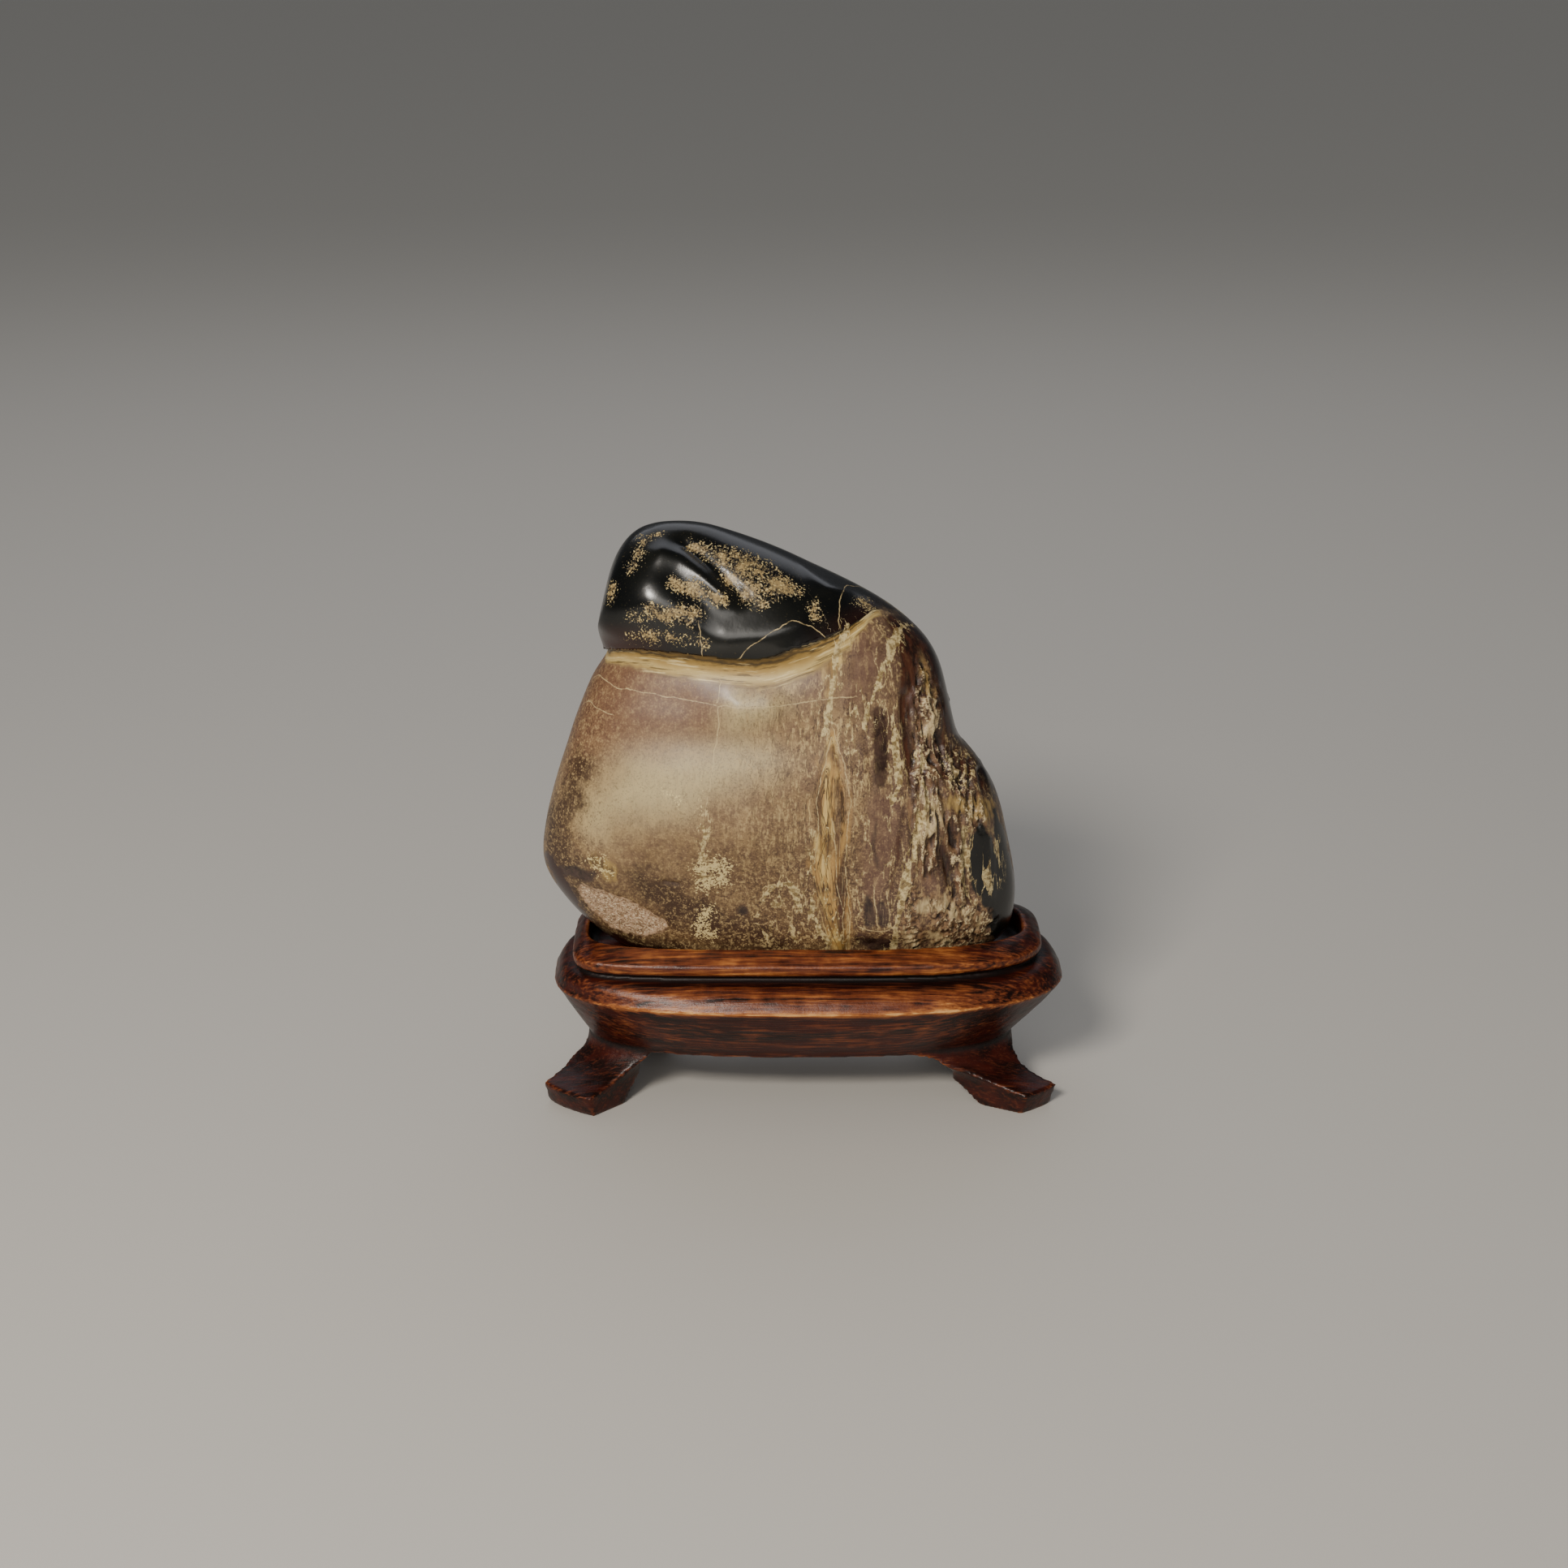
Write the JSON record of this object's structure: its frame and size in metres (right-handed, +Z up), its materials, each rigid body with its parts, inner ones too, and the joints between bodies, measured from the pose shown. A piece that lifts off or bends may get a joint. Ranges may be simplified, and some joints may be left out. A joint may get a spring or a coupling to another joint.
{
  "type": "scholars rock",
  "caption": "Upright polished scholar's rock with a dark overhanging cap, seated in a carved dark hardwood stand with a moulded rim, arched apron and splayed feet.",
  "frame": {"origin": "on the surface it stands on, under the middle of the stand's overall box", "axes": "+X to the right of the display face, +Y away from the viewer, +Z up"},
  "size_m": [0.1139, 0.0508, 0.1276],
  "materials": {
    "stone": "polished, with a glossy black cap, taupe body, ochre streaks and rough cream patches",
    "stand": "dark red-brown stain under worn wax, with orange-brown wear on the edges"
  },
  "bodies": {
    "root": {"stone": "stone", "stand": "stand"}
  },
  "joints": []
}
